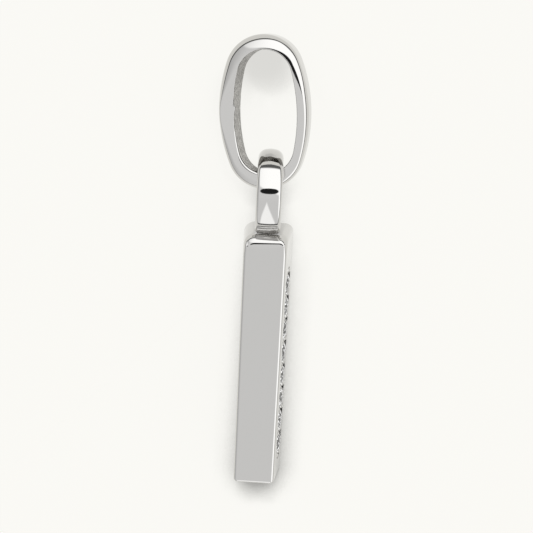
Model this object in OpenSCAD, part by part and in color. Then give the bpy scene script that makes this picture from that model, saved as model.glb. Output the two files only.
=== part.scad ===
// Initial pendant: a block letter I with one row of round stones down its front, a ring
// soldered to its top, and an oval bail threaded through the ring.
// The pendant lies on its side as it would on a table. The table is the plane Z = 0, +Y runs
// from the foot of the letter towards the bail, and the stones face +X.
// Three things touch the table: the foot of the letter, the ring and the upper end of the bail.

/* [Letter] */
// Height of the letter
bar_h = 11.36; // [9:0.1:14]
// Width of the letter as read from the front
bar_w = 2.65; // [2.2:0.05:3.4]
// Depth from back to front at the top
bar_t = 2.06; // [1.7:0.01:2.6]
// Depth from back to front at the foot
foot_t = 1.94; // [1.6:0.01:2.5]
// Angle by which the front and the back close in from the lower side to the upper one
draft = 3.3; // [0:0.1:5]
// Radius that rolls both sides over into the top
top_roll = 0.34; // [0.3:0.02:0.9]
// Radius of the top corner at the back
back_corner = 0.5; // [0.2:0.05:0.8]
// Radius of the top corner at the front
front_corner = 0.36; // [0.2:0.02:0.6]
// Radius of the corners of the foot
foot_corner = 0.14; // [0.05:0.01:0.3]
// Rounding of the long edges
edge_r = 0.1; // [0.04:0.01:0.2]

/* [Stone row] */
// Diameter of a stone
stone_d = 1.0; // [0.8:0.02:1.1]
// Distance from stone to stone
stone_pitch = 1.05; // [1.04:0.01:1.15]
// Width of the channel that the stones sit in
channel_w = 1.5; // [1.3:0.05:1.7]
// Depth of the channel below the rims
channel_d = 0.12; // [0.05:0.01:0.2]
// Height of the middle of the row above the foot
row_mid = 5.25; // [5:0.05:6.5]
// Height of a stone's table above the rims
table_rise = 0.06; // [0:0.01:0.08]
// Clearance round each stone
stone_gap = 0.015; // [0.01:0.005:0.03]
// Radius of the grains that hold the stones
grain_r = 0.15; // [0.1:0.01:0.18]

/* [Ring] */
// Outer radius of the ring
loop_r = 1.9; // [1.6:0.05:2.4]
// Radius of the hole in the ring
hole_r = 1.3; // [1.1:0.01:1.4]
// Width of the ring's band
loop_w = 1.12; // [0.8:0.02:1.5]
// Height of the ring's centre above the top of the letter
loop_rise = 1.7; // [1.5:0.02:2.2]
// Rounding of the ring's outer edges
loop_round = 0.3; // [0.2:0.02:0.5]
// Rounding of the ring's inner edges
loop_soft = 0.12; // [0.05:0.01:0.2]
// How far the ring is turned about the length of the letter, in degrees
loop_turn = 2.6; // [0:0.2:4]

/* [Bail] */
// Length of the bail from end to end
bail_l = 6.8; // [6:0.1:8]
// Width across the oval
bail_across = 3.95; // [3.4:0.05:4.6]
// Radius of the oval's two ends, over the outside
bail_end_r = 1.68; // [1.5:0.02:1.8]
// Length of the opening
open_l = 5.44; // [4.8:0.02:6]
// Width of the opening
open_across = 2.76; // [2.4:0.02:3.2]
// Radius of the opening's two ends
open_end_r = 1.2; // [1:0.02:1.3]
// Distance of the opening towards the upper end
open_shift = 0.02; // [0:0.01:0.2]
// How far the opening is set off to one side
open_side = 0.1; // [-0.2:0.01:0.2]
// Width of the band at the upper end
band_top = 2.2; // [1.8:0.05:2.6]
// Width of the band at the lower end
band_foot = 1.05; // [0.9:0.05:1.4]
// How far in from its edges the outside of the band is rounded
band_round = 0.55; // [0.3:0.05:0.8]
// Tilt of the bail that brings its upper end down to the table, in degrees
bail_tilt = 8; // [4:0.5:14]
// How far the bail is swung aside from the line of the letter, in degrees
swing = 5; // [0:0.5:8]
// How far the bail is rolled about its own length, in degrees
roll = -6; // [-10:0.5:10]
// How far aside from the ring's middle the lower end of the bail sits
seat_x = -0.12; // [-0.4:0.02:0.4]
// Distance from the ring's centre to the inside of the lower end of the bail
seat_y = 0.84; // [0.8:0.02:1.2]

/* [Hidden] */
$fn = 96;
METAL = [0.80, 0.80, 0.79];
CRYSTAL = [0.93, 0.95, 0.97];
// Slack that makes a cutting shape pass right through
over = 0.5;
// Angle that the front and the back open by from foot to top, at the middle of the sides
taper = atan((bar_t - foot_t) / 2 / bar_h);
// The same plane as a turn about Y by slant after a turn about Z by lean
lean = asin(sin(taper) * cos(draft));
slant = asin(sin(draft) / cos(lean));
// Brilliant cut, as parts of the diameter
table_d = 0.56 * stone_d;
crown_h = 0.15 * stone_d;
girdle_h = 0.03 * stone_d;
pavilion_h = 0.43 * stone_d;
culet_r = 0.01 * stone_d;
// Depth of the girdle's upper edge below the plane of the rims
girdle_drop = crown_h - table_rise;
stone_count = 8;
facets = 8;
first_y = row_mid - (stone_count - 1) / 2 * stone_pitch;
// Distance from the ring's centre to the table, with the ring turned
loop_low = (loop_r - loop_round) * cos(loop_turn) + (loop_w / 2 - loop_round) * sin(loop_turn)
    + loop_round;
// The letter and the ring stand on the table together: the tilt that brings both down to it
loop_y = bar_h + loop_rise;
rest_tilt = asin((loop_low - foot_corner) / norm([loop_y - foot_corner, bar_w / 2 - foot_corner]))
    - atan2(bar_w / 2 - foot_corner, loop_y - foot_corner);
// Height of the middle of the foot, and where the middle of the ring is
foot_lift = foot_corner + (bar_w / 2 - foot_corner) * cos(rest_tilt) - foot_corner * sin(rest_tilt);
ring_y = loop_y * cos(rest_tilt);
// From the bail's middle to the inside of its lower end
low_in = open_l / 2 - open_shift;
// Places round the bail and along the rounding of its band
stations = 96;
round_steps = 6;
// Slope of the outside of the band where it leaves the inner edge, in degrees
edge_slope = 15;

function unit(v) = v / norm(v);

// What is cut off to round the corner at with radius r, between the edges to points a and b
module corner_waste(a, at, b, r) {
    u = unit(a - at);
    v = unit(b - at);
    half = acos(u * v) / 2;
    run = r / tan(half);
    middle = at + unit(u + v) * r / sin(half);
    out_u = over * unit(at + u * run - middle);
    out_v = over * unit(at + v * run - middle);
    difference() {
        polygon([middle, at + u * run, at + u * run + out_u, at + out_u + out_v,
                 at + v * run + out_v, at + v * run]);
        translate(middle) circle(r = r);
    }
}

// A polygon with corner i rounded by radii[i]
module rounded_polygon(points, radii) {
    n = len(points);
    difference() {
        polygon(points);
        for (i = [0:n - 1]) if (radii[i] > 0)
            corner_waste(points[(i + n - 1) % n], points[i], points[(i + 1) % n], radii[i]);
    }
}

// All that lies behind the plane of the front, with that plane's long edges rounded
module behind_front() {
    deep = 2 * bar_t;
    half_w = bar_w / 2;
    reach = half_w * tan(draft);
    translate([foot_t / 2, 0, 0]) rotate([0, 0, -taper]) rotate([-90, 0, 0])
        translate([0, 0, -over]) linear_extrude(bar_h + 2 * over)
            rounded_polygon([[-reach, -half_w], [reach, half_w], [-deep, half_w], [-deep, -half_w]],
                            [edge_r, edge_r, 0, 0]);
}

// What is cut off to round the front's top and foot
module front_corners(top_corner) {
    foot = [0, 0];
    top = [tan(lean) * bar_h, bar_h];
    back = [-bar_t, 0];
    translate([foot_t / 2, 0, 0]) rotate([0, -slant, 0]) translate([0, 0, -bar_w])
        linear_extrude(2 * bar_w) {
            corner_waste(foot + back, foot, top, foot_corner);
            corner_waste(foot, top, top + back, top_corner);
        }
}

module letter_block() {
    half_w = bar_w / 2;
    difference() {
        intersection() {
            rotate([0, 90, 0]) translate([0, 0, -bar_t]) linear_extrude(2 * bar_t)
                rounded_polygon([[-half_w, 0], [half_w, 0], [half_w, bar_h], [-half_w, bar_h]],
                                [foot_corner, foot_corner, top_roll, top_roll]);
            behind_front();
            mirror([1, 0, 0]) behind_front();
        }
        front_corners(front_corner);
        mirror([1, 0, 0]) front_corners(back_corner);
    }
}

// Frame of the front: X straight out of it, Y up along it, with its origin at the foot
module on_front() {
    translate([foot_t / 2, 0, 0]) rotate([0, -slant, 0]) rotate([0, 0, -lean]) children();
}

// Channel with round ends, sunk into the front
module channel() {
    run = (stone_count - 1) * stone_pitch;
    translate([-channel_d, first_y, 0]) rotate([0, 90, 0]) {
        cylinder(d = channel_w, h = over);
        translate([0, run, 0]) cylinder(d = channel_w, h = over);
        translate([-channel_w / 2, 0, 0]) cube([channel_w, run, over]);
    }
}

// Grains of metal in the corners between neighbouring stones, and at both ends of the row
module grains() {
    for (i = [0:stone_count], side = [-1, 1])
        translate([-channel_d, first_y + (i - 0.5) * stone_pitch, side * 0.4 * stone_d])
            sphere(r = grain_r, $fn = 24);
}

// A brilliant cut from a round blank of radius r: table, crown, girdle and pavilion. The crown and the
// pavilion have as many sides as given, and lie outside those of a stone of the same r by slack.
module cut_stone(r, sides, slack) {
    grow = 1 / cos(180 / facets);
    translate([-girdle_drop - girdle_h, 0, 0]) rotate([0, 90, 0]) rotate([0, 0, 180 / facets])
        intersection() {
            union() {
                translate([0, 0, -pavilion_h])
                    cylinder(r1 = culet_r + slack, r2 = r * grow, h = pavilion_h, $fn = sides);
                cylinder(r = r * grow, h = girdle_h, $fn = sides);
                translate([0, 0, girdle_h]) cylinder(r1 = r * grow,
                    r2 = table_d / 2 * grow + slack, h = crown_h + slack, $fn = sides);
            }
            translate([0, 0, -over]) cylinder(r = r, h = 2 * over);
        }
}

// Room for one stone with its clearance, and the drilled well under it
module seat() {
    well_r = 0.1;
    cut_stone(stone_d / 2 + stone_gap, $fn, stone_gap);
    translate([-girdle_drop - girdle_h - pavilion_h - well_r, 0, 0]) rotate([0, 90, 0])
        cylinder(r = well_r, h = 3 * well_r);
}

// Frame of the ring: its centre, with X along its hole
module at_ring() {
    translate([0, loop_y, 0]) rotate([0, loop_turn, 0]) children();
}

module loop_ring() {
    half_w = loop_w / 2;
    rotate([0, 90, 0]) rotate_extrude()
        rounded_polygon([[hole_r, -half_w], [loop_r, -half_w], [loop_r, half_w], [hole_r, half_w]],
                        [loop_soft, loop_round, loop_round, loop_soft]);
}

// Solder that fills the narrow gap between the ring and the top of the letter
module solder() {
    w = loop_w - 0.04;
    reach_z = 1.02;
    sink = 0.3;
    height = 0.17;
    fillet_r = 0.16;
    difference() {
        translate([-w / 2, -loop_rise - sink, -reach_z]) cube([w, sink + height, 2 * reach_z]);
        for (side = [-1, 1]) translate([-w, height - loop_rise, side * reach_z])
            rotate([0, 90, 0]) cylinder(r = fillet_r, h = 2 * w, $fn = 32);
    }
}

module stone_place(i) {
    translate([0, first_y + (i - 1) * stone_pitch, 0]) children();
}

// Radius of the long sides of an oval made of four arcs that run into one another
function side_r(across, long, end_r) =
    (pow(across / 2, 2) + pow(long / 2 - end_r, 2) - pow(end_r, 2)) / (across - 2 * end_r);

// Distance from the middle of that oval to its rim in the direction a, measured from X
function oval_at(across, long, end_r, a) =
    let (c = long / 2 - end_r, r = side_r(across, long, end_r), d = r - across / 2,
         to_side = sqrt(pow(r, 2) - pow(d * sin(a), 2)) - d * abs(cos(a)))
    to_side * abs(sin(a)) < c * r / (r - end_r) ? to_side
        : c * abs(sin(a)) + sqrt(pow(end_r, 2) - pow(c * cos(a), 2));

// Rounding of the band: steps from the inner edge to the outside, as [part of the thickness,
// part of the rounded width]
round_path = [for (k = [0:round_steps]) let (a = edge_slope + (90 - edge_slope) * k / round_steps)
    [(sin(a) - sin(edge_slope)) / (1 - sin(edge_slope)), 1 - cos(a) / cos(edge_slope)]];

// One section of the band in the direction a, in the bail's own frame: X across, Y along,
// Z through the opening. It runs from one inner edge over the outside to the other one.
function band_section(a) =
    let (out = oval_at(bail_across, bail_l, bail_end_r, a),
         in = oval_at(open_across, open_l, open_end_r, a),
         dir = [cos(a), sin(a)],
         part = 0.5 + out * sin(a) / bail_l,
         half_w = (band_foot + part * (band_top - band_foot)) / 2,
         rounded = min(band_round, 0.96 * half_w),
         start = dir * in + [open_side, open_shift], thick = dir * out - start)
    concat([for (p = round_path) concat(start + thick * p[0], -half_w + rounded * p[1])],
           [for (k = [round_steps:-1:0]) let (p = round_path[k])
               concat(start + thick * p[0], half_w - rounded * p[1])]);

// The bail's points as it lies, before it is set down on the table
function placed(p) =
    let (y = p[1] + low_in, x = p[0] * cos(roll) + p[2] * sin(roll),
         z = p[2] * cos(roll) - p[0] * sin(roll),
         along = y * cos(bail_tilt) + z * sin(bail_tilt))
    [x * cos(swing) - along * sin(swing) + seat_x,
     x * sin(swing) + along * cos(swing) + seat_y + ring_y, z * cos(bail_tilt) - y * sin(bail_tilt)];

band_points = [for (s = [0:stations - 1]) for (p = band_section(360 * s / stations)) placed(p)];
// Least and greatest coordinate of the bail along axis i
function band_low(i) = min([for (p = band_points) p[i]]);
function band_high(i) = max([for (p = band_points) p[i]]);

// The origin is on the table, under the middle of the whole pendant
mid_x = (band_low(0) + band_high(0)) / 2;
foot_y = (cos(rest_tilt) - 1) * foot_corner - (bar_w / 2 - foot_corner) * sin(rest_tilt);
mid_y = (foot_y + band_high(1)) / 2;

module lying_letter() {
    translate([-mid_x, -mid_y, foot_lift]) rotate([rest_tilt, 0, 0]) children();
}

module initial_bar() {
    color(METAL) lying_letter() difference() {
        union() {
            difference() {
                letter_block();
                on_front() channel();
            }
            on_front() grains();
            at_ring() loop_ring();
            at_ring() solder();
        }
        on_front() for (i = [1:stone_count]) stone_place(i) seat();
    }
}

module bail() {
    n = 2 * (round_steps + 1);
    color(METAL) translate([-mid_x, -mid_y, -band_low(2)])
        polyhedron(band_points, [for (s = [0:stations - 1], k = [0:n - 1])
            let (t = (s + 1) % stations, m = (k + 1) % n)
            for (tri = [[s * n + k, s * n + m, t * n + m], [s * n + k, t * n + m, t * n + k]]) tri]);
}

module stone(i) {
    color(CRYSTAL) lying_letter() on_front() stone_place(i) cut_stone(stone_d / 2, facets, 0);
}

initial_bar();
bail();
for (i = [1:stone_count]) stone(i);
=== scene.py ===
"""Initial pendant of polished white gold, lying on a pale board under soft light.

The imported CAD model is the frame. The letter, its ring, the solder, the bail and the stones are
modelled again here with finer edges, in millimetres and upright, and are then laid down where the
CAD nodes lie.
"""

import logging
import math
from collections.abc import Callable, Iterator
from contextlib import contextmanager
from dataclasses import dataclass, field
from enum import Enum

import bpy
from mathutils import Matrix, Vector


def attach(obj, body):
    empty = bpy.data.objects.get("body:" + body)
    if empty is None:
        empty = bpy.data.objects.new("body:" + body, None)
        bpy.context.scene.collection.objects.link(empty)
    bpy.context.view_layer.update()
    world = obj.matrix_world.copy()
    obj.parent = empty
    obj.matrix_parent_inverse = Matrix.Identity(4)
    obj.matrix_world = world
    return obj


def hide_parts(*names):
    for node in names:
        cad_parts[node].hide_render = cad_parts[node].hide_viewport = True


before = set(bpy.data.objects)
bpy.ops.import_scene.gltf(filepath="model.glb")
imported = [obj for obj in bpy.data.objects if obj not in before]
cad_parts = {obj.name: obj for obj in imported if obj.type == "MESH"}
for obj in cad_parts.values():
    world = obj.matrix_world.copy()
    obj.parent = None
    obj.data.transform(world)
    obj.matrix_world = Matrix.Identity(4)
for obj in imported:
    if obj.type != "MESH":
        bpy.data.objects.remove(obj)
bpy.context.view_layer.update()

LOG = logging.getLogger("pendant")
MM = 0.001
ROOT = "root"


class Slot(Enum):
    """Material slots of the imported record."""

    METAL = "white_gold"
    STONE = "stone"


# ---------------------------------------------------------------- small tools


def linear(hex_colour: str) -> tuple[float, float, float, float]:
    """Turns an sRGB hex colour into linear RGBA.

    Args:
        hex_colour: Six hex digits after a hash.

    Returns:
        The colour that Blender's sockets expect.
    """
    parts = [int(hex_colour[i : i + 2], 16) / 255 for i in (1, 3, 5)]
    lin = [c / 12.92 if c <= 0.04045 else ((c + 0.055) / 1.055) ** 2.4 for c in parts]
    return (lin[0], lin[1], lin[2], 1.0)


def add_node(
    tree: bpy.types.NodeTree,
    kind: str,
    settings: dict[str, object] | None = None,
    inputs: dict[str | int, object] | None = None,
) -> bpy.types.Node:
    """Adds one node with its settings, values and links.

    Args:
        tree: Node tree that gets the node.
        kind: Blender's name for the node.
        settings: Attributes to set on the node.
        inputs: For each input, a value or the output socket that feeds it.

    Returns:
        The new node.
    """
    node = tree.nodes.new(kind)
    for name, value in (settings or {}).items():
        setattr(node, name, value)
    for name, value in (inputs or {}).items():
        if isinstance(value, bpy.types.NodeSocket):
            tree.links.new(value, node.inputs[name])
        else:
            node.inputs[name].default_value = value
    return node


def deselect() -> None:
    """Deselects every object."""
    bpy.ops.object.select_all(action="DESELECT")


def activate(obj: bpy.types.Object) -> None:
    """Makes one object the only one selected, and the active one."""
    deselect()
    obj.select_set(True)
    bpy.context.view_layer.objects.active = obj


@contextmanager
def editing(obj: bpy.types.Object) -> Iterator[None]:
    """Edit mode on one object, with nothing selected at the start."""
    activate(obj)
    bpy.ops.object.mode_set(mode="EDIT")
    bpy.ops.mesh.select_all(action="DESELECT")
    try:
        yield
    finally:
        bpy.ops.object.mode_set(mode="OBJECT")


def pick_vertices(obj: bpy.types.Object, test: Callable[[Vector], bool]) -> None:
    """Selects the vertices that pass a test, and with them the edges and faces that they span.

    Args:
        obj: Object in edit mode.
        test: Takes a vertex's place and says whether it is selected.
    """
    bpy.ops.mesh.select_mode(type="VERT")
    bpy.ops.mesh.select_all(action="DESELECT")
    bpy.ops.object.mode_set(mode="OBJECT")
    for vertex in obj.data.vertices:
        vertex.select = test(vertex.co)
    bpy.ops.object.mode_set(mode="EDIT")


def pick_edges(obj: bpy.types.Object, test: Callable[[Vector, Vector], bool]) -> None:
    """Selects the edges whose two ends pass a test.

    Args:
        obj: Object in edit mode.
        test: Takes the places of an edge's two ends.
    """
    bpy.ops.mesh.select_mode(type="EDGE")
    bpy.ops.mesh.select_all(action="DESELECT")
    bpy.ops.object.mode_set(mode="OBJECT")
    points = obj.data.vertices
    for edge in obj.data.edges:
        edge.select = test(points[edge.vertices[0]].co, points[edge.vertices[1]].co)
    bpy.ops.object.mode_set(mode="EDIT")


def apply_modifier(obj: bpy.types.Object, kind: str, **settings: object) -> None:
    """Adds a modifier with its settings and applies it."""
    activate(obj)
    modifier = obj.modifiers.new(kind.lower(), kind)
    for name, value in settings.items():
        setattr(modifier, name, value)
    bpy.ops.object.modifier_apply(modifier=modifier.name)


def cut_away(obj: bpy.types.Object, cutter: bpy.types.Object) -> None:
    """Cuts one solid out of another and removes the cutter."""
    apply_modifier(obj, "BOOLEAN", operation="DIFFERENCE", solver="EXACT", object=cutter)
    bpy.data.objects.remove(cutter)


def join(objects: list[bpy.types.Object]) -> bpy.types.Object:
    """Joins several objects into the first one."""
    deselect()
    for obj in objects:
        obj.select_set(True)
    bpy.context.view_layer.objects.active = objects[0]
    bpy.ops.object.join()
    return objects[0]


def place_mesh(obj: bpy.types.Object, matrix: Matrix) -> None:
    """Moves an object by a matrix and applies it, so that its place is in its mesh."""
    activate(obj)
    obj.matrix_world = matrix @ obj.matrix_world
    bpy.ops.object.transform_apply(location=True, rotation=True, scale=True)


def smooth(obj: bpy.types.Object, degrees: float) -> None:
    """Shades smooth wherever two faces meet at less than an angle."""
    activate(obj)
    bpy.ops.object.shade_smooth_by_angle(angle=math.radians(degrees))


def turn(degrees: float, axis: str) -> Matrix:
    """Rotation matrix about a named axis."""
    return Matrix.Rotation(math.radians(degrees), 4, axis)


# ---------------------------------------------------------------- how it lies


@dataclass(frozen=True)
class Lie:
    """How the pendant came to lie, in millimetres and degrees, as the CAD nodes do.

    The origin is on the board, under the middle of the pendant. The upright letter's frame has X to
    its front, Y up and Z to the side that lies uppermost.
    """

    mid_x: float = -0.358872
    mid_y: float = 9.964431
    letter_lift: float = 1.317425
    letter_tilt: float = 2.601236
    bail_lift: float = 1.86677
    bail_tilt: float = 8.0
    bail_swing: float = 5.0
    bail_roll: float = -6.0
    bail_seat: tuple[float, float] = (-0.12, 13.886543)

    def letter(self) -> Matrix:
        """Matrix that lays the upright letter down, and turns millimetres into metres."""
        place = Matrix.Translation((-self.mid_x, -self.mid_y, self.letter_lift))
        return Matrix.Scale(MM, 4) @ place @ turn(self.letter_tilt, "X")

    def bail(self, seat_to_middle: float) -> Matrix:
        """Matrix that lays the bail down.

        Args:
            seat_to_middle: Distance from the inside of its lower end to its middle.

        Returns:
            The matrix, which also turns millimetres into metres.
        """
        x, y = self.bail_seat
        place = Matrix.Translation((x - self.mid_x, y - self.mid_y, self.bail_lift))
        spin = turn(self.bail_swing, "Z") @ turn(-self.bail_tilt, "X") @ turn(self.bail_roll, "Y")
        rise = Matrix.Translation((0, seat_to_middle, 0))
        return Matrix.Scale(MM, 4) @ place @ spin @ rise


# ---------------------------------------------------------------- finishes


CAST_AND_SHADE = "cast_and_painted_shade"


@dataclass(frozen=True)
class WhiteGold:
    """White gold under rhodium plate: buffed where a wheel reaches, and as cast elsewhere.

    A mesh attribute says how much of the darker cast colour shows at each point: the unpolished cast surface,
    and painted shade as well in the stone channel, at the ring's foot, on the solder and on the bail's inner
    edge.
    """

    # Rhodium reflects less than silver, and evenly: a cool light grey mirror
    polished: str = "#cecdcb"
    # The cast surface scatters light, so it looks darker than the mirror round it, and more so in its pits.
    # The same darker colour is also laid on as painted shade where the mask asks for it
    cast: str = "#a6a4a0"
    pits: str = "#6e6c68"
    polished_roughness: float = 0.035
    cast_roughness: float = 0.30
    # A soft wheel leaves waves about as wide as a stone
    wave_mm: float = 0.9
    wave_height: float = 0.0022
    # Grain of the mould's plaster
    grain_mm: float = 0.16
    grain_height: float = 0.07
    # Hair scratches from wiping, seen only as a faint change of gloss
    scratch_mm: float = 0.05

    def build(self) -> bpy.types.Material:
        """Makes the material."""
        mat = bpy.data.materials.new("rhodium_plated_white_gold")
        mat.use_nodes = True
        tree = mat.node_tree
        shader = tree.nodes["Principled BSDF"]
        shader.inputs["Metallic"].default_value = 1.0
        place = add_node(tree, "ShaderNodeTexCoord").outputs["Object"]
        share = add_node(tree, "ShaderNodeAttribute", {"attribute_name": CAST_AND_SHADE}).outputs["Fac"]

        def noise(size_mm: float, detail: float) -> bpy.types.NodeSocket:
            """Noise whose lumps have a size in millimetres."""
            inputs = {"Vector": place, "Scale": 1 / (size_mm * MM), "Detail": detail}
            return add_node(tree, "ShaderNodeTexNoise", inputs=inputs).outputs["Fac"]

        grain = noise(self.grain_mm, 3.0)
        spots = add_node(
            tree, "ShaderNodeMapRange", inputs={"Value": grain, "From Min": 0.4, "From Max": 0.6}
        ).outputs["Result"]
        skin_and_shade = add_node(
            tree,
            "ShaderNodeMix",
            {"data_type": "RGBA"},
            {0: spots, 6: linear(self.pits), 7: linear(self.cast)},
        ).outputs[2]
        colour = add_node(
            tree, "ShaderNodeMix", {"data_type": "RGBA"}, {0: share, 6: linear(self.polished), 7: skin_and_shade}
        ).outputs[2]
        tree.links.new(colour, shader.inputs["Base Color"])
        haze = add_node(
            tree,
            "ShaderNodeMapRange",
            inputs={
                "Value": noise(self.scratch_mm, 2.0),
                "From Min": 0.3,
                "From Max": 0.75,
                "To Min": self.polished_roughness * 0.6,
                "To Max": self.polished_roughness * 1.6,
            },
        ).outputs["Result"]
        rough = add_node(
            tree, "ShaderNodeMix", {"data_type": "FLOAT"}, {0: share, 2: haze, 3: self.cast_roughness}
        ).outputs[0]
        tree.links.new(rough, shader.inputs["Roughness"])
        wave = add_node(
            tree,
            "ShaderNodeBump",
            inputs={"Height": noise(self.wave_mm, 1.0), "Distance": self.wave_height * MM, "Strength": 1.0},
        ).outputs["Normal"]
        bump = add_node(
            tree,
            "ShaderNodeBump",
            inputs={"Height": grain, "Distance": self.grain_height * MM, "Strength": share, "Normal": wave},
        ).outputs["Normal"]
        tree.links.new(bump, shader.inputs["Normal"])
        return mat


def leave_cast_and_shade(obj: bpy.types.Object, share: Callable[[Vector], float]) -> None:
    """Writes at each point how much of the darker cast colour shows, for the cast surface and for painted
    shade.

    Args:
        obj: The piece, before it is laid down.
        share: Takes a point and gives a share between 0 and 1.
    """
    values = obj.data.attributes.new(CAST_AND_SHADE, "FLOAT", "POINT")
    for vertex in obj.data.vertices:
        values.data[vertex.index].value = min(1.0, max(0.0, share(vertex.co)))


@dataclass(frozen=True)
class Diamond:
    """Clear colourless stone with sharp polished facets."""

    colour: str = "#fdfdff"
    ior: float = 2.417

    def build(self) -> bpy.types.Material:
        """Makes the material."""
        mat = bpy.data.materials.new("clear_brilliant")
        mat.use_nodes = True
        shader = mat.node_tree.nodes["Principled BSDF"]
        shader.inputs["Base Color"].default_value = linear(self.colour)
        shader.inputs["Roughness"].default_value = 0.0
        shader.inputs["IOR"].default_value = self.ior
        shader.inputs["Transmission Weight"].default_value = 1.0
        return mat


@dataclass(frozen=True)
class PaleBoard:
    """Opal white board that glows evenly, as if lit from below, with a soft shadow painted into its glow
    close to what lies on it.
    """

    colour: str = "#33332f"
    glow_colour: str = "#fffefa"
    glow: float = 0.922
    reach_mm: float = 2.2
    # Open share of the sky at which the shadow is deepest, and at which it ends
    deepest: float = 0.57
    clear: float = 0.82
    # How deep it is beside the foot and inside the bail, and between which heights it changes
    shadow_depths: tuple[float, float] = (0.75, 0.25)
    change_mm: tuple[float, float] = (-4.0, 7.0)
    # Direction about which the painted shadow is measured, as if a soft light came from there
    painted_light_from: tuple[float, float, float] = (-0.05, 0.966, 0.259)

    def build(self) -> bpy.types.Material:
        """Makes the material."""
        mat = bpy.data.materials.new("pale_board")
        mat.use_nodes = True
        tree = mat.node_tree
        shader = tree.nodes["Principled BSDF"]
        shader.inputs["Base Color"].default_value = linear(self.colour)
        shader.inputs["Roughness"].default_value = 0.9
        shader.inputs["Specular IOR Level"].default_value = 0.0
        shader.inputs["Emission Color"].default_value = linear(self.glow_colour)
        parts = dict(zip("XYZ", self.painted_light_from))
        painted_light_from = add_node(tree, "ShaderNodeCombineXYZ", inputs=parts).outputs["Vector"]
        open_share = add_node(
            tree,
            "ShaderNodeAmbientOcclusion",
            {"samples": 16},
            {"Distance": self.reach_mm * MM, "Normal": painted_light_from},
        ).outputs["AO"]
        # The painted shadow gets shallower towards the bail along the board's Y, set by a ramp and not by a
        # light
        place = add_node(tree, "ShaderNodeTexCoord").outputs["Object"]
        height = add_node(tree, "ShaderNodeSeparateXYZ", inputs={"Vector": place}).outputs["Y"]
        least = add_node(
            tree,
            "ShaderNodeMapRange",
            {"interpolation_type": "SMOOTHSTEP"},
            {
                "Value": height,
                "From Min": self.change_mm[0] * MM,
                "From Max": self.change_mm[1] * MM,
                "To Min": self.glow * (1 - self.shadow_depths[0]),
                "To Max": self.glow * (1 - self.shadow_depths[1]),
            },
        ).outputs["Result"]
        # Glow of the board, dimmed where the painted shadow falls
        glow = add_node(
            tree,
            "ShaderNodeMapRange",
            inputs={
                "Value": open_share,
                "From Min": self.deepest,
                "From Max": self.clear,
                "To Min": least,
                "To Max": self.glow,
            },
        ).outputs["Result"]
        tree.links.new(glow, shader.inputs["Emission Strength"])
        return mat


@dataclass(frozen=True)
class Finishes:
    """All finishes of the pendant, made once."""

    gold: bpy.types.Material = field(default_factory=lambda: WhiteGold().build())
    stone: bpy.types.Material = field(default_factory=lambda: Diamond().build())


def hand_over(obj: bpy.types.Object, name: str, nodes: list[str]) -> bpy.types.Object:
    """Names a finished piece, lets it ride and says what it stands for.

    Args:
        obj: The finished piece.
        name: Its name.
        nodes: CAD nodes that it stands for.

    Returns:
        The piece.
    """
    obj.name = obj.data.name = name
    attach(obj, ROOT)
    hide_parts(*nodes)
    LOG.info("%s: %d faces, stands for %s", name, len(obj.data.polygons), ", ".join(nodes))
    return obj


# ---------------------------------------------------------------- the letter


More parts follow.
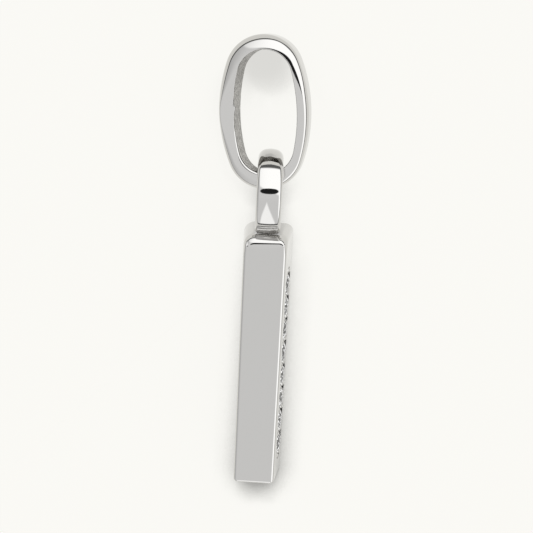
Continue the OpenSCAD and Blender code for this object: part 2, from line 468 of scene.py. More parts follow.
@dataclass
class Letter:
    """Block letter with a channel for the stones, in its upright frame, in millimetres."""

    height: float = 11.36
    width: float = 2.65
    depth_top: float = 2.06
    depth_foot: float = 1.94
    draft: float = 3.3
    back_corner: float = 0.5
    front_corner: float = 0.36
    foot_corner: float = 0.18
    # Rounding of the uppermost side's edges: along the length, at the foot, and at the top
    long_edge: float = 0.15
    foot_edge: float = 0.1
    # Each as reach and drop, at the back and at the front
    top_roll_back: tuple[float, float] = (0.41, 0.48)
    top_roll_front: tuple[float, float] = (0.31, 0.72)
    # Above its middle the uppermost side bends down a little before it rolls over
    ease_angle: float = 8.5
    ease_ends: float = 0.12
    ease_middle: float = 0.36
    # Narrow facet between that bend and the roll: its slopes in degrees, and its width
    facet_slopes: tuple[float, float] = (13.0, 18.0)
    facet: float = 0.06
    low_edge: float = 0.12
    channel_width: float = 1.5
    channel_depth: float = 0.12
    roll_steps: int = 14
    ease_steps: int = 8

    def build(self, finishes: Finishes, lie: Lie) -> bpy.types.Object:
        """Models the letter, dresses it and lays it down.

        Args:
            finishes: The finishes.
            lie: How the pendant lies.

        Returns:
            The finished piece.
        """
        block = self._block()
        self._sink_channel(block)
        smooth(block, 25)
        front = self.face_matrix().inverted()
        # The stone channel gets some of the darker cast colour: cast surface left in it, and painted shade in
        # the recess round the stones
        leave_cast_and_shade(block, lambda p: 0.3 if (front @ p).x < -0.02 and self._in_channel(front @ p) else 0.0)
        block.data.materials.append(finishes.gold)
        place_mesh(block, lie.letter())
        return hand_over(block, "letter_block", ["initial_bar"])

    def face_matrix(self) -> Matrix:
        """Frame of the front: X straight out of it and Y up along it, with its origin at the foot."""
        taper = math.atan((self.depth_top - self.depth_foot) / 2 / self.height)
        lean = math.asin(math.sin(taper) * math.cos(math.radians(self.draft)))
        slant = math.asin(math.sin(math.radians(self.draft)) / math.cos(lean))
        start = Matrix.Translation((self.depth_foot / 2, 0, 0))
        return start @ turn(-math.degrees(slant), "Y") @ turn(-math.degrees(lean), "Z")

    def _in_channel(self, point: Vector) -> bool:
        """Whether a point in the frame of the front lies within the channel's outline."""
        row = StoneRow()
        reach = (row.count * row.pitch + self.channel_width) / 2
        return abs(point.y - row.middle) < reach and abs(point.z) < self.channel_width / 2 + 0.01

    def _outline(self) -> list[tuple[Vector, Vector]]:
        """Points round the side view, each with the way that points inwards from it."""
        points: list[tuple[Vector, Vector]] = []

        def side(a: Vector, b: Vector, inwards: Vector, steps: list[float]) -> None:
            """Adds points between two corners."""
            points.extend((a.lerp(b, t), inwards) for t in steps)

        def corner(x: float, y: float, radius: float, start: float) -> None:
            """Adds a quarter of a circle, turning to the left."""
            for k in range(15):
                a = math.radians(start + 90 * k / 14)
                out = Vector((math.cos(a), math.sin(a), 0))
                points.append((Vector((x, y, 0)) + out * radius, -out))

        half_top, half_foot, high = self.depth_top / 2, self.depth_foot / 2, self.height
        foot, front, back = self.foot_corner, self.front_corner, self.back_corner
        near_top = [0.15, 0.3, 0.45, 0.6, 0.75, 0.85, 0.9, 0.93, 0.95, 0.96, 0.97, 0.98, 0.99]
        corner(-half_foot + foot, foot, foot, 180)
        start, end = Vector((-half_foot + foot, 0, 0)), Vector((half_foot - foot, 0, 0))
        side(start, end, Vector((0, 1, 0)), [0.25, 0.5, 0.75])
        corner(half_foot - foot, foot, foot, 270)
        side(Vector((half_foot, foot, 0)), Vector((half_top, high - front, 0)), Vector((-1, 0, 0)), near_top)
        corner(half_top - front, high - front, front, 0)
        across = [k / 16 for k in range(1, 16)]
        start, end = Vector((half_top - front, high, 0)), Vector((back - half_top, high, 0))
        side(start, end, Vector((0, -1, 0)), across)
        corner(back - half_top, high - back, back, 90)
        down = [1 - t for t in reversed(near_top)]
        side(Vector((-half_top, high - back, 0)), Vector((-half_foot, foot, 0)), Vector((1, 0, 0)), down)
        return points

    def _roll(self, point: Vector, inwards: Vector) -> tuple[Vector, float, float, float]:
        """How the uppermost side rolls over at a point of the outline.

        Args:
            point: The point, in the side view.
            inwards: The way inwards from it.

        Returns:
            Where the flat starts, how much of the way to it is the tight roll, how far that roll
            drops, and the slope where it starts.
        """
        share = 0.5 + point.x / self.depth_top
        pairs = zip(self.top_roll_back, self.top_roll_front)
        reach_top, drop_top = (back + (front - back) * share for back, front in pairs)
        hump = 1 - (2 * share - 1) ** 2
        ease = self.ease_ends + (self.ease_middle - self.ease_ends) * hump
        up = max(0.0, -inwards.y)
        corner = self.front_corner if point.x > 0 else self.back_corner
        # Below a corner the wide roll of the top dies away along the side
        fade = min(1.0, max(0.0, (point.y - (self.height - corner - 0.45)) / (corner + 0.45)))
        fade = fade * fade * (3 - 2 * fade)
        edge = self.long_edge + (self.foot_edge - self.long_edge) * max(0.0, inwards.y)
        drop = edge + (drop_top - edge) * fade
        reach = edge + 0.005
        goal = point + inwards * reach
        if fade > 0:
            low = self.height - reach_top - ease
            inner = Vector((point.x * (1 - 0.10 * up), low, 0))
            limit = self.depth_top / 2 - self.long_edge - 0.02
            inner.x = max(-limit, min(limit, inner.x))
            goal = goal.lerp(inner, fade)
            goal.y = min(goal.y, low)
        length = (goal - point).length
        tight = 0.98 + (min(0.92, reach_top / length) - 0.98) * fade
        slope = math.tan(math.radians(self.ease_angle)) * up * fade
        return goal, tight, drop, slope

    def _block(self) -> bpy.types.Object:
        """A sheet wrapped round the outline, from the flat of one side to the flat of the other."""
        outline = self._outline()
        half = self.width / 2
        columns: list[list[Vector]] = []
        for point, inwards in outline:
            goal, tight, drop, slope = self._roll(point, inwards)
            way = goal - point
            length = way.length
            gentle = length * (1 - tight)
            column = [goal + way.normalized() * 0.005 + Vector((0, 0, half)), goal + Vector((0, 0, half))]
            for k in range(1, self.ease_steps + 1):
                run = gentle * k / self.ease_steps
                fall = slope * run * run / 2 / gentle
                column.append(goal - way.normalized() * run + Vector((0, 0, half - fall)))
            start_fall = slope * gentle / 2
            share = slope / math.tan(math.radians(self.ease_angle))
            low_slope, high_slope = (math.tan(math.radians(v)) * share for v in self.facet_slopes)
            for k in range(1, 4):
                run = gentle + self.facet * share * k / 3
                here = low_slope + (high_slope - low_slope) * (k - 0.5) / 3
                start_fall += self.facet * share / 3 * here
                column.append(goal - way.normalized() * run + Vector((0, 0, half - start_fall)))
            # Ellipse from its slope at the ease to the upright wall
            reach = length * tight - self.facet * share
            ratio = high_slope * reach / max(drop, 1e-6)
            first = math.atan2(1.0, ratio)
            scale = 1 - math.cos(first)
            for k in range(1, self.roll_steps + 1):
                a = first * (1 - k / self.roll_steps)
                run = reach * (1 - math.cos(a)) / scale
                fall = start_fall + drop * (math.sin(first) - math.sin(a))
                column.append(point + way.normalized() * run + Vector((0, 0, half - fall)))
            low = self.low_edge if point.y < self.height - 0.6 else self.low_edge * 1.5
            for k in range(7):
                a = math.pi / 2 * k / 6
                rise = low * (1 - math.sin(a))
                column.append(point + inwards * low * (1 - math.cos(a)) + Vector((0, 0, -half + rise)))
            column.append(point + inwards * (low + 0.005) + Vector((0, 0, -half)))
            columns.append(column)
        levels = len(columns[0])
        rings = [[column[level] for column in columns] + [columns[0][level]] for level in range(levels)]
        bpy.ops.mesh.primitive_grid_add(x_subdivisions=len(outline), y_subdivisions=levels - 1, size=2)
        block = bpy.context.object
        tilt = math.tan(math.radians(self.draft)) / (self.depth_foot / 2)
        for level, ring in enumerate(rings):
            for i, place in enumerate(ring):
                leaned = Vector((place.x * (1 - place.z * tilt), place.y, place.z))
                block.data.vertices[level * (len(outline) + 1) + i].co = leaned
        with editing(block):
            bpy.ops.mesh.select_all(action="SELECT")
            bpy.ops.mesh.remove_doubles(threshold=1e-5)
            bpy.ops.mesh.select_all(action="DESELECT")
            bpy.ops.mesh.select_mode(type="EDGE")
            bpy.ops.mesh.select_non_manifold(
                extend=False, use_wire=False, use_multi_face=False, use_non_contiguous=False, use_verts=False
            )
            bpy.ops.mesh.fill_holes(sides=0)
            bpy.ops.mesh.select_all(action="SELECT")
            bpy.ops.mesh.normals_make_consistent(inside=False)
        return block

    def _sink_channel(self, block: bpy.types.Object) -> None:
        """Cuts the channel with its round ends, and a seat for each stone."""
        row = StoneRow()
        length = (row.count - 1) * row.pitch + self.channel_width
        bpy.ops.mesh.primitive_cube_add(size=1, location=(0, row.middle, 0))
        cutter = bpy.context.object
        cutter.scale = (2 * self.channel_depth, length, self.channel_width)
        bpy.ops.object.transform_apply(location=True, rotation=True, scale=True)
        with editing(cutter):
            pick_edges(cutter, lambda a, b: abs(a.x - b.x) > 1e-3)
            bpy.ops.mesh.bevel(offset=0.49 * self.channel_width, segments=14, profile=0.5, affect="EDGES")
        place_mesh(cutter, self.face_matrix())
        cut_away(block, cutter)
        seats = []
        for y in row.places():
            bpy.ops.mesh.primitive_cone_add(
                vertices=32, radius1=row.diameter * 0.54, radius2=0.06, depth=0.6,
                location=(-0.05 - 0.3, y, 0), rotation=(0, -math.pi / 2, 0),
            )
            seats.append(bpy.context.object)
        cutter = join(seats)
        place_mesh(cutter, self.face_matrix())
        cut_away(block, cutter)


@dataclass
class StoneRow:
    """Row of brilliants between raised grains, in the frame of the letter's front."""

    count: int = 8
    pitch: float = 1.05
    middle: float = 5.25
    diameter: float = 1.0
    table_rise: float = 0.06
    # Brilliant cut, as parts of the diameter
    table: float = 0.56
    crown: float = 0.15
    girdle: float = 0.03
    pavilion: float = 0.43
    grain: float = 0.15

    def places(self) -> list[float]:
        """Heights of the stones above the foot."""
        return [self.middle + (i - (self.count - 1) / 2) * self.pitch for i in range(self.count)]

    def build(self, finishes: Finishes, lie: Lie, letter: Letter) -> None:
        """Models the stones and the grains and lays them down.

        Args:
            finishes: The finishes.
            lie: How the pendant lies.
            letter: The letter that carries them.
        """
        model = self._brilliant()
        for i, y in enumerate(self.places(), 1):
            stone = model.copy()
            stone.data = model.data.copy()
            bpy.context.scene.collection.objects.link(stone)
            spin = Matrix.Rotation(math.radians(17.0 * i), 4, "X")
            place = Matrix.Translation((self.table_rise, y, 0)) @ spin
            place_mesh(stone, lie.letter() @ letter.face_matrix() @ place)
            stone.data.materials.append(finishes.stone)
            hand_over(stone, f"brilliant_{i}", [f"stone_{i}"])
        bpy.data.objects.remove(model)
        self._grains(finishes, lie, letter)

    def _brilliant(self) -> bpy.types.Object:
        """A round brilliant with its table at X = 0, facing +X: rings of corners under one hull."""
        d, step = self.diameter, math.pi / 8
        table_r, girdle_r = self.table * d / 2, d / 2
        crown_slope = self.crown * d / (girdle_r - table_r)
        pavilion_slope = self.pavilion * d / girdle_r
        star_r, half_r = 0.8 * girdle_r, 0.24 * girdle_r
        below = -(self.crown + self.girdle) * d
        bpy.ops.mesh.primitive_circle_add(vertices=8, radius=table_r)
        stone = bpy.context.object
        rings = (
            (8, star_r, step, -self.crown * d + (girdle_r - star_r * math.cos(step)) * crown_slope),
            (16, girdle_r, 0.0, -self.crown * d),
            (16, girdle_r, 0.0, below),
            (8, half_r, step, below - (girdle_r - half_r * math.cos(step)) * pavilion_slope),
            (8, 0.01 * d, 0.0, -(self.crown + self.girdle + self.pavilion) * d),
        )
        with editing(stone):
            for count, radius, start, z in rings:
                bpy.ops.mesh.primitive_circle_add(
                    vertices=count, radius=radius, location=(0, 0, z), rotation=(0, 0, start)
                )
            bpy.ops.mesh.select_all(action="SELECT")
            bpy.ops.mesh.convex_hull()
            bpy.ops.mesh.dissolve_limited(angle_limit=math.radians(0.5))
            bpy.ops.mesh.select_all(action="SELECT")
            bpy.ops.mesh.normals_make_consistent(inside=False)
        place_mesh(stone, turn(90, "Y"))
        return stone

    def _grains(self, finishes: Finishes, lie: Lie, letter: Letter) -> None:
        """Raises a grain in each corner between two stones, and at both ends of the row."""
        heights = [self.middle + (i - self.count / 2) * self.pitch for i in range(self.count + 1)]
        grains = []
        for y in heights:
            for side in (-1, 1):
                bpy.ops.mesh.primitive_uv_sphere_add(
                    segments=20, ring_count=12, radius=self.grain,
                    location=(-letter.channel_depth, y, side * 0.4 * self.diameter),
                )
                grains.append(bpy.context.object)
        grains = join(grains)
        smooth(grains, 60)
        leave_cast_and_shade(grains, lambda p: 0.0)
        grains.data.materials.append(finishes.gold)
        place_mesh(grains, lie.letter() @ letter.face_matrix())
        hand_over(grains, "setting_grains", ["initial_bar"])


# ---------------------------------------------------------------- ring and solder


@dataclass
class Ring:
    """Ring that is soldered to the top of the letter, and its solder."""

    outer: float = 1.9
    hole: float = 1.3
    width: float = 1.12
    rise: float = 1.7
    # Rounding of the outer edges on the uppermost side, and at the end that faces away from the letter
    outer_round: float = 0.15
    cap_round: float = 0.4
    inner_round: float = 0.12
    crown: float = 0.04
    turned: float = 2.6
    steps: int = 192

    def build(self, finishes: Finishes, lie: Lie, letter: Letter) -> None:
        """Models the ring and the solder and lays them down.

        Args:
            finishes: The finishes.
            lie: How the pendant lies.
            letter: The letter that carries the ring.
        """
        place = lie.letter() @ Matrix.Translation((0, letter.height + self.rise, 0)) @ turn(self.turned, "Y")
        ring = self._ring()
        smooth(ring, 30)
        # The ring darkens towards the letter, more on one side: cast surface left in the corner where the
        # wheel doesn't get in, and painted shade there
        leave_cast_and_shade(ring, lambda p: (-p.y - 1.2) / 0.5 * (0.2 + 0.7 * p.x) if p.y < -1.2 else 0.0)
        ring.data.materials.append(finishes.gold)
        place_mesh(ring, place)
        hand_over(ring, "hanging_ring", ["initial_bar"])
        solder = self._solder()
        smooth(solder, 60)
        # The solder gets the darker cast colour, more towards one side: unpolished solder, and painted shade
        # under the ring
        leave_cast_and_shade(solder, lambda p: 0.1 + 0.3 * p.x)
        solder.data.materials.append(finishes.gold)
        place_mesh(solder, place)
        hand_over(solder, "solder", ["initial_bar"])

    def _ring(self) -> bpy.types.Object:
        """The band's section with its rounded edges, spun about the ring's axis."""
        middle, thick = (self.outer + self.hole) / 2, self.outer - self.hole
        bpy.ops.mesh.primitive_plane_add(size=1, location=(0, middle, 0))
        ring = bpy.context.object
        ring.scale = (self.width, thick, 1)
        bpy.ops.object.transform_apply(location=True, rotation=True, scale=True)
        with editing(ring):
            pick_edges(ring, lambda a, b: a.y > self.outer - 1e-4 and b.y > self.outer - 1e-4)
            bpy.ops.mesh.subdivide(number_cuts=7)
            for radius, test in (
                (self.outer_round, lambda p: p.y > self.outer - 1e-4 and abs(p.x) > self.width / 2 - 1e-4),
                (self.inner_round, lambda p: p.y < self.hole + 1e-4),
            ):
                pick_vertices(ring, test)
                bpy.ops.mesh.bevel(offset=radius, segments=14, profile=0.5, affect="VERTICES")
            bpy.ops.object.mode_set(mode="OBJECT")
            for vertex in ring.data.vertices:
                if vertex.co.y > middle:
                    vertex.co.y -= self.crown * (2 * vertex.co.x / self.width) ** 2
            bpy.ops.object.mode_set(mode="EDIT")
            bpy.ops.mesh.select_all(action="SELECT")
            bpy.ops.mesh.delete(type="ONLY_FACE")
            bpy.ops.mesh.select_all(action="SELECT")
            bpy.ops.mesh.spin(steps=self.steps, angle=2 * math.pi, center=(0, 0, 0), axis=(1, 0, 0))
            bpy.ops.mesh.select_all(action="SELECT")
            bpy.ops.mesh.remove_doubles(threshold=1e-4)
            bpy.ops.mesh.normals_make_consistent(inside=False)
        self._round_cap(ring)
        return ring

    def _round_cap(self, ring: bpy.types.Object) -> None:
        """Widens the rounding of the outer edges towards the end that faces away from the letter."""
        flat = self.width / 2 - self.outer_round
        for vertex in ring.data.vertices:
            x, y, z = vertex.co
            from_axis = math.hypot(y, z)
            share = max(0.0, y / from_axis - 0.74) / 0.26
            wider = (self.cap_round - self.outer_round) * share * share * (3 - 2 * share)
            if from_axis < (self.outer + self.hole) / 2 or wider == 0:
                continue
            new_x, new_r = abs(x) * (flat - wider) / flat, from_axis
            if abs(x) > flat:
                uncrowned = from_axis + self.crown * (2 * x / self.width) ** 2
                angle = math.atan2(max(0.0, uncrowned - self.outer + self.outer_round), abs(x) - flat)
                new_x = abs(x) - wider * (1 - math.cos(angle))
                new_r = from_axis - wider * (1 - math.sin(angle))
            vertex.co = (math.copysign(new_x, x), y * new_r / from_axis, z * new_r / from_axis)

    def _solder(self) -> bpy.types.Object:
        """A low block with soft edges that fills the gap under the ring."""
        bpy.ops.mesh.primitive_cube_add(size=1, location=(0, -self.rise + 0.05, 0))
        solder = bpy.context.object
        solder.scale = (self.width, 0.34, 1.66)
        bpy.ops.object.transform_apply(location=True, rotation=True, scale=True)
        with editing(solder):
            pick_edges(solder, lambda a, b: a.y > -self.rise + 0.1 and b.y > -self.rise + 0.1)
            bpy.ops.mesh.bevel(offset=0.14, segments=6, profile=0.5, affect="EDGES")
        return solder


# ---------------------------------------------------------------- the bail


@dataclass(frozen=True)
class Shoulder:
    """How the bail's upper side is rounded off in one direction.

    The side is flat over a share of the band, counted from the inside, and then rolls over its edge,
    from a slope of tip degrees on.
    """

    direction: float
    flat_share: float
    drop: float
    inner_edge: float
    tip: float


@dataclass
class Bail:
    """Oval link with a band that is flat inside, rounded outside and wider at its upper end."""

    length: float = 6.8
    across: float = 3.95
    end_radius: float = 1.68
    open_length: float = 5.44
    open_across: float = 2.76
    open_end_radius: float = 1.2
    open_shift: float = 0.02
    open_side: float = 0.1
    band_top: float = 2.2
    band_foot: float = 1.05
    band_round: float = 0.55
    edge_slope: float = 15.0
    # The uppermost side was buffed at a slight angle, in degrees across and along the link
    buffed_across: float = 4.3
    buffed_along: float = 3.8
    shoulders: tuple[Shoulder, ...] = (
        Shoulder(0, 0.60, 0.30, 0.03, 0.0),
        Shoulder(20, 0.58, 0.30, 0.03, 0.0),
        Shoulder(35, 0.45, 0.25, 0.03, 0.0),
        Shoulder(47, 0.20, 0.23, 0.03, 0.0),
        Shoulder(60, 0.0, 0.29, 0.03, 0.0),
        Shoulder(75, 0.0, 0.42, 0.03, 7.0),
        Shoulder(92, 0.0, 0.60, 0.03, 13.5),
        Shoulder(112, 0.0, 0.55, 0.03, 10.0),
        Shoulder(130, 0.20, 0.50, 0.03, 2.0),
        Shoulder(150, 0.60, 0.48, 0.03, 0.0),
        Shoulder(170, 0.84, 0.48, 0.03, 0.0),
        Shoulder(190, 0.84, 0.48, 0.03, 0.0),
        Shoulder(215, 0.66, 0.42, 0.07, 0.0),
        Shoulder(245, 0.45, 0.38, 0.16, 0.0),
        Shoulder(275, 0.55, 0.36, 0.06, 0.0),
        Shoulder(300, 0.70, 0.28, 0.05, 0.0),
        Shoulder(330, 0.64, 0.30, 0.03, 0.0),
    )
    # Where the casting's inner edge has a step: direction, depth and length, in degrees
    nick: tuple[float, float, float] = (171.0, 0.12, 3.0)
    # Directions between which the inner edge itself was buffed; elsewhere painted shade in the darker cast
    # colour covers most of its rounding
    buffed_edge: tuple[float, float] = (212.0, 285.0)
    stations: int = 256
    inner_steps: int = 14
    edge_steps: int = 6
    flat_steps: int = 6
    roll_steps: int = 16

    def build(self, finishes: Finishes, lie: Lie) -> bpy.types.Object:
        """Models the bail, dresses it and lays it down.

        Args:
            finishes: The finishes.
            lie: How the pendant lies.

        Returns:
            The finished piece.
        """
        around = len(self._section(0.0))
        bpy.ops.mesh.primitive_torus_add(
            major_segments=self.stations, minor_segments=around, major_radius=2, minor_radius=0.3
        )
        bail = bpy.context.object
        for i in range(self.stations):
            for j, point in enumerate(self._section(2 * math.pi * i / self.stations)):
                bail.data.vertices[i * around + j].co = point
        with editing(bail):
            bpy.ops.mesh.select_all(action="SELECT")
            bpy.ops.mesh.normals_make_consistent(inside=False)
        smooth(bail, 40)
        leave_cast_and_shade(bail, lambda p: 0.0)
        skin_and_shade = bail.data.attributes[CAST_AND_SHADE]
        low, high = self.buffed_edge
        for vertex in bail.data.vertices:
            direction = 360 * (vertex.index // around) / self.stations
            # Beyond the inner wall, outside the buffed directions, the first four steps of the edge's
            # rounding get the cast colour as painted shade that hides its glint
            last = self.inner_steps + (0 if low < direction < high else 4)
            skin_and_shade.data[vertex.index].value = float(vertex.index % around <= last)
        bail.data.materials.append(finishes.gold)
        place_mesh(bail, lie.bail(self.open_length / 2 - self.open_shift))
        return hand_over(bail, "bail_link", ["bail"])

    @staticmethod
    def _oval(across: float, length: float, end: float, a: float) -> float:
        """Distance from the middle of an oval of four arcs to its rim.

        Args:
            across: Width of the oval.
            length: Length of the oval.
            end: Radius of its two ends.
            a: Direction, from the X axis.

        Returns:
            The distance.
        """
        c = length / 2 - end
        r = ((across / 2) ** 2 + c * c - end * end) / (across - 2 * end)
        d = r - across / 2
        side = math.sqrt(r * r - (d * math.sin(a)) ** 2) - d * abs(math.cos(a))
        if side * abs(math.sin(a)) < c * r / (r - end):
            return side
        return c * abs(math.sin(a)) + math.sqrt(end * end - (c * math.cos(a)) ** 2)

    def _shoulder(self, a: float) -> tuple[float, ...]:
        """Shape of the rounded upper side in a direction, averaged over a few degrees.

        Args:
            a: Direction, in radians.

        Returns:
            Flat share, drop, inner edge radius and tip.
        """
        near = [self._between(math.degrees(a) + off) for off in (-8, -6, -4, -2, 0, 2, 4, 6, 8)]
        return tuple(sum(values) / len(near) for values in zip(*near))

    def _between(self, degrees: float) -> tuple[float, ...]:
        """Shape of the rounded upper side between two entries of the list.

        Args:
            degrees: Direction.

        Returns:
            Flat share, drop, inner edge radius and tip.
        """
        degrees %= 360
        for i, here in enumerate(self.shoulders):
            after = self.shoulders[(i + 1) % len(self.shoulders)]
            span = (after.direction - here.direction) % 360
            way = (degrees - here.direction) % 360
            if way <= span:
                pairs = (
                    (here.flat_share, after.flat_share),
                    (here.drop, after.drop),
                    (here.inner_edge, after.inner_edge),
                    (here.tip, after.tip),
                )
                return tuple(x + (y - x) * way / span for x, y in pairs)
        raise ValueError(degrees)

    def _section(self, a: float) -> list[Vector]:
        """Points round the band in the direction a.

        They run up the flat inside, out over the uppermost side, down the outside and back under it.

        Args:
            a: Direction, in radians.

        Returns:
            The points, in order.
        """
        out = self._oval(self.across, self.length, self.end_radius, a)
        inner = self._oval(self.open_across, self.open_length, self.open_end_radius, a)
        direction = Vector((math.cos(a), math.sin(a), 0))
        part = 0.5 + out * math.sin(a) / self.length
        half = (self.band_foot + part * (self.band_top - self.band_foot)) / 2
        start = direction * inner + Vector((self.open_side, self.open_shift, 0))
        outer = direction * out
        thick = (outer - start).length
        flat, drop, edge, tip = self._shoulder(a)
        across, along = (math.tan(math.radians(t)) for t in (self.buffed_across, self.buffed_along))

        def top(u: float) -> float:
            """Height of the buffed side, before it rolls over."""
            at = start.lerp(outer, u)
            wide = self.band_foot + (0.5 + at.y / self.length) * (self.band_top - self.band_foot)
            return wide / 2 - across * at.x - along * at.y

        where, depth, reach = self.nick
        off = (math.degrees(a) - where) / reach
        nick = depth * math.exp(-off * off if off < 0 else -0.3 * off)
        path: list[tuple[float, float]] = []
        rise = top(edge / thick) - edge
        path += [(0.0, -half + (rise + half) * j / self.inner_steps) for j in range(self.inner_steps + 1)]
        for k in range(1, self.edge_steps + 1):
            b = math.pi / 2 * k / self.edge_steps
            u = edge * (1 - math.cos(b)) / thick
            path.append((u, top(u) - edge * (1 - math.sin(b))))
        first = edge / thick
        # A narrow strip holds the flat's shading up to the edge
        first += 0.006
        path.append((first, top(first)))
        roll = max(flat, first + 0.02)
        for k in range(1, self.flat_steps + 1):
            u = first + (roll - first) * k / self.flat_steps
            path.append((u, top(u)))
        tip = math.radians(tip)
        for k in range(1, self.roll_steps + 1):
            b = tip + (math.pi / 2 - tip) * k / self.roll_steps
            u = roll + (1 - roll) * (math.sin(b) - math.sin(tip)) / (1 - math.sin(tip))
            fall = drop * (1 - math.cos(b) / math.cos(tip))
            path.append((u, top(u) - fall))
        low = min(self.band_round, 0.96 * half)
        path.append((1.0, (path[-1][1] - half + low) / 2))
        slope = math.radians(self.edge_slope)
        for k in range(self.roll_steps, 0, -1):
            b = slope + (math.pi / 2 - slope) * k / self.roll_steps
            u = (math.sin(b) - math.sin(slope)) / (1 - math.sin(slope))
            path.append((u, -half + low * (1 - math.cos(b) / math.cos(slope))))
        points = []
        for u, z in path:
            near_edge = max(0.0, 1 - abs(z - top(u)) / 0.6) * max(0.0, 1 - u / 0.35)
            points.append(start.lerp(outer, u) - direction * nick * near_edge + Vector((0, 0, z)))
        return points


# ---------------------------------------------------------------- studio


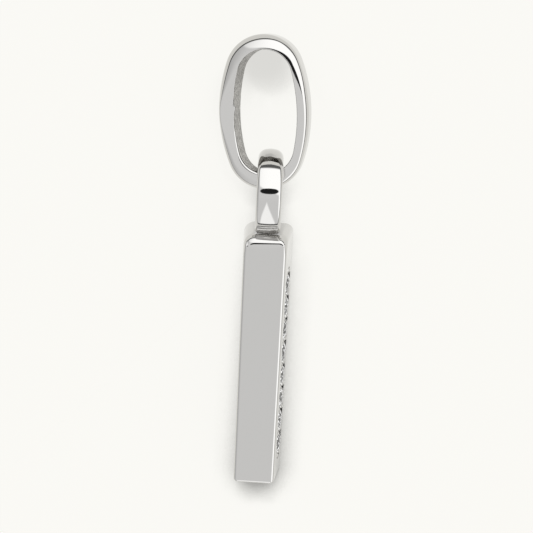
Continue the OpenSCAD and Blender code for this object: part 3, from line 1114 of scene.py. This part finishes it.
@dataclass
class Studio:
    """Board, light tent and camera of the photograph."""

    pixels: int = 533
    pixels_per_mm: float = 22.6
    # Where the point over the origin, at the height below, shows in the picture
    origin_at: tuple[float, float] = (258.5, 256.35)
    origin_height: float = 1.3
    tilt_x: float = 2.6
    tilt_y: float = 13.0
    roll: float = 3.0
    distance: float = 200.0
    # Brightness of the tent's parts
    ceiling: float = 0.88
    ceiling_ahead: float = 0.92
    dim_wall: float = 0.66
    panel: float = 1.62
    foot_strip: float = 1.4
    panel_azimuth: float = 35.0
    gap: float = 0.15
    gap_top: float = 0.26
    gap_top_foot: float = 0.12
    gap_right: float = 0.14
    lens: float = 0.02
    # Half its width and height, in degrees
    lens_size: tuple[float, float] = (14.0, 7.5)

    def axes(self) -> tuple[Vector, Vector, Vector]:
        """Right, up and towards the camera, in the row frame."""
        lean_x, lean_y = (math.tan(math.radians(v)) for v in (self.tilt_x, self.tilt_y))
        back = Vector((lean_x, lean_y, 1)).normalized()
        up = Vector((0, 1, 0))
        up = (up - back * up.dot(back)).normalized()
        right = up.cross(back)
        r = math.radians(self.roll)
        return right * math.cos(r) + up * math.sin(r), up * math.cos(r) - right * math.sin(r), back

    def build(self) -> None:
        """Sets up the board, the tent and the camera."""
        self._board()
        self._tent()
        self._camera()

    def _board(self) -> None:
        """A large pale board under the pendant."""
        bpy.ops.mesh.primitive_plane_add(size=2.0, location=(0, 0, 0))
        board = bpy.context.object
        board.name = "board"
        board.data.materials.append(PaleBoard().build())

    def _camera(self) -> None:
        """A long lens over the pendant, a little towards its top."""
        right, up, back = self.axes()
        data = bpy.data.cameras.new("camera")
        camera = bpy.data.objects.new("camera", data)
        bpy.context.scene.collection.objects.link(camera)
        middle = self.pixels / 2
        aim = Vector((0, 0, self.origin_height))
        aim += right * (middle - self.origin_at[0]) / self.pixels_per_mm
        aim -= up * (middle - self.origin_at[1]) / self.pixels_per_mm
        place = Matrix((right, up, back)).transposed().to_4x4()
        place.translation = (aim + back * self.distance) * MM
        camera.matrix_world = place
        data.sensor_width = 36.0
        data.lens = data.sensor_width * self.distance * self.pixels_per_mm / self.pixels
        data.clip_start, data.clip_end = 0.01, 10.0
        bpy.context.scene.camera = camera

    def _tent(self) -> None:
        """Light tent: a grey ceiling, white walls beyond the top and at the right, and the dark lens."""
        world = bpy.data.worlds.new("light_tent")
        bpy.context.scene.world = world
        world.use_nodes = True
        tree = world.node_tree
        background = tree.nodes["Background"]
        right, up, back = self.axes()
        ray = add_node(tree, "ShaderNodeTexCoord").outputs["Generated"]

        def along(axis: tuple[float, float, float]) -> bpy.types.NodeSocket:
            """How far the ray goes along an axis."""
            dot = add_node(tree, "ShaderNodeVectorMath", {"operation": "DOT_PRODUCT"}, {0: ray, 1: axis})
            return dot.outputs["Value"]

        def step(value: object, low: float, high: float, start: float, end: float) -> bpy.types.NodeSocket:
            """A smooth step from start to end as value goes from low to high."""
            return add_node(
                tree,
                "ShaderNodeMapRange",
                {"interpolation_type": "SMOOTHSTEP"},
                {"Value": value, "From Min": low, "From Max": high, "To Min": start, "To Max": end},
            ).outputs["Result"]

        def maths(operation: str, a: object, b: object = 0.0) -> bpy.types.NodeSocket:
            """One sum of two numbers."""
            return add_node(tree, "ShaderNodeMath", {"operation": operation}, {0: a, 1: b}).outputs[0]

        def blend(share: object, low: object, high: object) -> bpy.types.NodeSocket:
            """A share of the way from one number to another."""
            mix = add_node(tree, "ShaderNodeMix", {"data_type": "FLOAT"}, {0: share, 2: low, 3: high})
            return mix.outputs[0]

        side, ahead, height = along((1, 0, 0)), along((0, 1, 0)), along((0, 0, 1))
        ceiling = step(ahead, -0.3, 0.0, self.ceiling, self.ceiling_ahead)
        light = step(side, -0.95, -0.25, self.dim_wall, ceiling)
        aim = math.radians(self.panel_azimuth)
        toward = along((math.sin(aim), math.cos(aim), 0))
        fade = step(side, -0.75, 0.05, 0.35, 1.0)
        light = blend(maths("MULTIPLY", step(toward, 0.17, 0.27, 0.0, 1.0), fade), light, self.panel)
        light = blend(step(side, 0.3, 0.45, 0.0, 1.0), light, self.panel)
        wedge = maths("SUBTRACT", maths("ABSOLUTE", side), maths("MULTIPLY", maths("ADD", ahead, 0.3), -0.18))
        strip = step(wedge, -0.02, 0.02, 1.0, 0.0)
        light = blend(strip, light, self.foot_strip)
        gap_top = step(ahead, -0.3, 0.0, self.gap_top_foot, self.gap_top)
        gap_top = maths("ADD", gap_top, step(side, 0.2, 0.6, 0.0, self.gap_right))
        gap_low = maths("MULTIPLY", gap_top, 0.6)
        light = blend(step(height, gap_low, gap_top, 0.0, 1.0), self.gap, light)
        wide, high = (1 / math.sin(math.radians(v)) for v in self.lens_size)
        across, upwards = along(tuple(right * wide)), along(tuple(up * high))
        off_axis = maths("ADD", maths("MULTIPLY", across, across), maths("MULTIPLY", upwards, upwards))
        off_axis = maths("ADD", off_axis, step(along(tuple(back)), 0.0, 0.1, 9.0, 0.0))
        light = blend(step(off_axis, 0.8, 1.2, 0.0, 1.0), self.lens, light)
        background.inputs["Color"].default_value = (1.0, 1.0, 1.0, 1.0)
        tree.links.new(light, background.inputs["Strength"])
        bpy.context.scene.view_settings.view_transform = "Standard"


def main() -> None:
    """Builds the pendant and its studio."""
    logging.basicConfig(level=logging.INFO, format="%(name)s: %(message)s")
    finishes = Finishes()
    lie = Lie()
    letter = Letter()
    letter.build(finishes, lie)
    StoneRow().build(finishes, lie, letter)
    Ring().build(finishes, lie, letter)
    Bail().build(finishes, lie)
    Studio().build()


if __name__ == "__main__":
    main()
